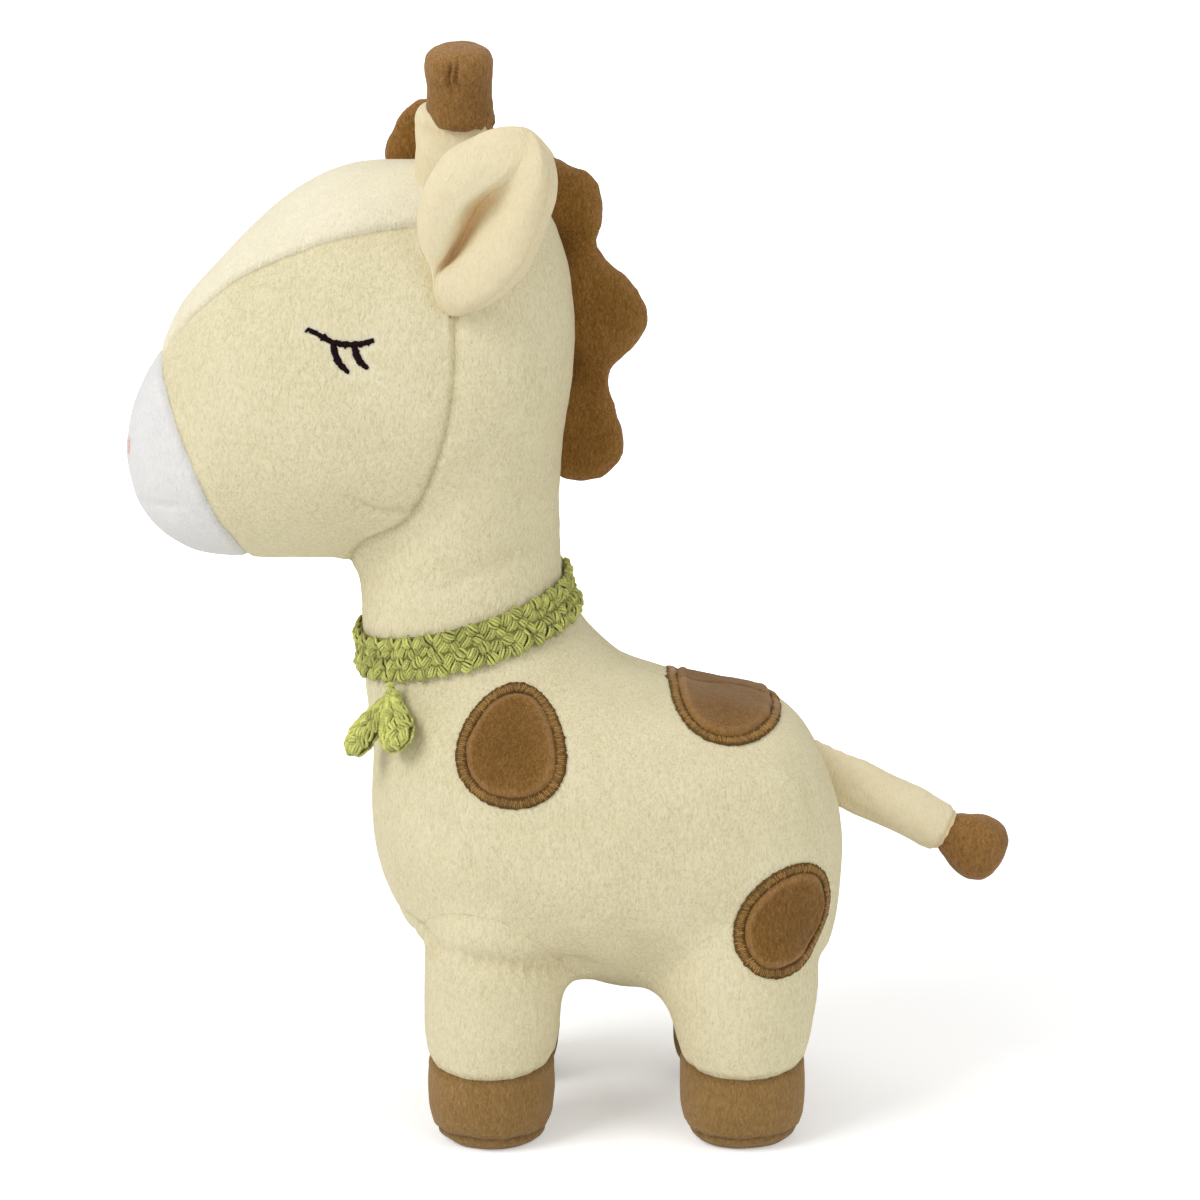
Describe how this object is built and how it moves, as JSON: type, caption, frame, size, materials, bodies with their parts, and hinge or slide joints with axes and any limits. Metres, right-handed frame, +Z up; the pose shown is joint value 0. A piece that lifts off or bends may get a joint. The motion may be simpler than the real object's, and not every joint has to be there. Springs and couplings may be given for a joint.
{
  "type": "plush giraffe",
  "caption": "Stuffed plush giraffe standing on short legs, with floppy ears, a wagging tail and a crocheted collar with two hanging leaves.",
  "frame": {"origin": "on the floor under the middle of the toy's box, halfway between its sides", "axes": "+Z up, -X the way the head points, +X towards the tail, -Y the toy's left side"},
  "size_m": [0.2384, 0.1208, 0.2881],
  "materials": {
    "cream_plush": "short pile",
    "pale_plush": "short pile",
    "white_plush": "short pile",
    "brown_plush": "short pile",
    "patch_plush": "short pile",
    "hoof_plush": "short pile",
    "crochet": "cotton yarn",
    "dark_thread": "satin stitch",
    "peach_thread": "satin stitch",
    "wadding": "loose fibre"
  },
  "bodies": {
    "toy": {"back_patch_left": "patch_plush", "back_patch_right": "patch_plush", "belly_panel": "cream_plush", "bow_knot": "crochet", "collar": "crochet", "eye_left": "dark_thread", "eye_right": "dark_thread", "face_cover_left": "cream_plush", "face_cover_right": "cream_plush", "forehead_panel": "pale_plush", "head_stuffing": "wadding", "hoof_cover_front_left": "hoof_plush", "hoof_cover_front_right": "hoof_plush", "hoof_cover_rear_left": "hoof_plush", "hoof_cover_rear_right": "hoof_plush", "horn_cap_left": "brown_plush", "horn_cap_right": "brown_plush", "horn_shaft_left": "pale_plush", "horn_shaft_right": "pale_plush", "horn_stuffing_left": "wadding", "horn_stuffing_right": "wadding", "leg_cover_front_left": "cream_plush", "leg_cover_front_right": "cream_plush", "leg_cover_rear_left": "cream_plush", "leg_cover_rear_right": "cream_plush", "leg_stuffing_front_left": "wadding", "leg_stuffing_front_right": "wadding", "leg_stuffing_rear_left": "wadding", "leg_stuffing_rear_right": "wadding", "mane": "brown_plush", "muzzle_cover": "white_plush", "neck_cover_left": "cream_plush", "neck_cover_right": "cream_plush", "neck_stuffing": "wadding", "nostril_left": "peach_thread", "nostril_right": "peach_thread", "shin_patch": "patch_plush", "shoulder_patch_left": "patch_plush", "shoulder_patch_right": "patch_plush", "sole_front_left": "hoof_plush", "sole_front_right": "hoof_plush", "sole_rear_left": "hoof_plush", "sole_rear_right": "hoof_plush", "thigh_patch_left": "patch_plush", "thigh_patch_right": "patch_plush", "torso_cover_left": "cream_plush", "torso_cover_right": "cream_plush", "torso_stuffing": "wadding"},
    "ear_left": {"ear_back_left": "cream_plush", "ear_lining_left": "pale_plush"},
    "ear_right": {"ear_back_right": "cream_plush", "ear_lining_right": "pale_plush"},
    "tail": {"tail_cover": "cream_plush", "tail_stuffing": "wadding", "tail_tuft": "brown_plush"},
    "leaf_front": {"bow_leaf_front": "crochet"},
    "leaf_rear": {"bow_leaf_rear": "crochet"}
  },
  "joints": [
    {"name": "ear_flap_left", "type": "hinge", "parent": "toy", "child": "ear_left", "pos_m": [-0.031, -0.0385, 0.22], "axis": [0.3102, 0, -0.9507], "range_deg": [-6, 40], "stiffness_Nm_per_rad": 0.02},
    {"name": "ear_flap_right", "type": "hinge", "parent": "toy", "child": "ear_right", "pos_m": [-0.031, 0.0385, 0.22], "axis": [-0.3102, 0, 0.9507], "range_deg": [-6, 40], "stiffness_Nm_per_rad": 0.02},
    {"name": "tail_wag", "type": "hinge", "parent": "toy", "child": "tail", "pos_m": [0.072, 0, 0.0935], "axis": [0.4695, 0, 0.8829], "range_deg": [-35, 35], "stiffness_Nm_per_rad": 0.02},
    {"name": "leaf_swing_front", "type": "hinge", "parent": "toy", "child": "leaf_front", "pos_m": [-0.04653, -0.0261, 0.11877], "axis": [-0.7193, 0.6947, 0], "range_deg": [0, 55]},
    {"name": "leaf_swing_rear", "type": "hinge", "parent": "toy", "child": "leaf_rear", "pos_m": [-0.04653, -0.0261, 0.11877], "axis": [-0.7193, 0.6947, 0], "range_deg": [0, 55]}
  ]
}
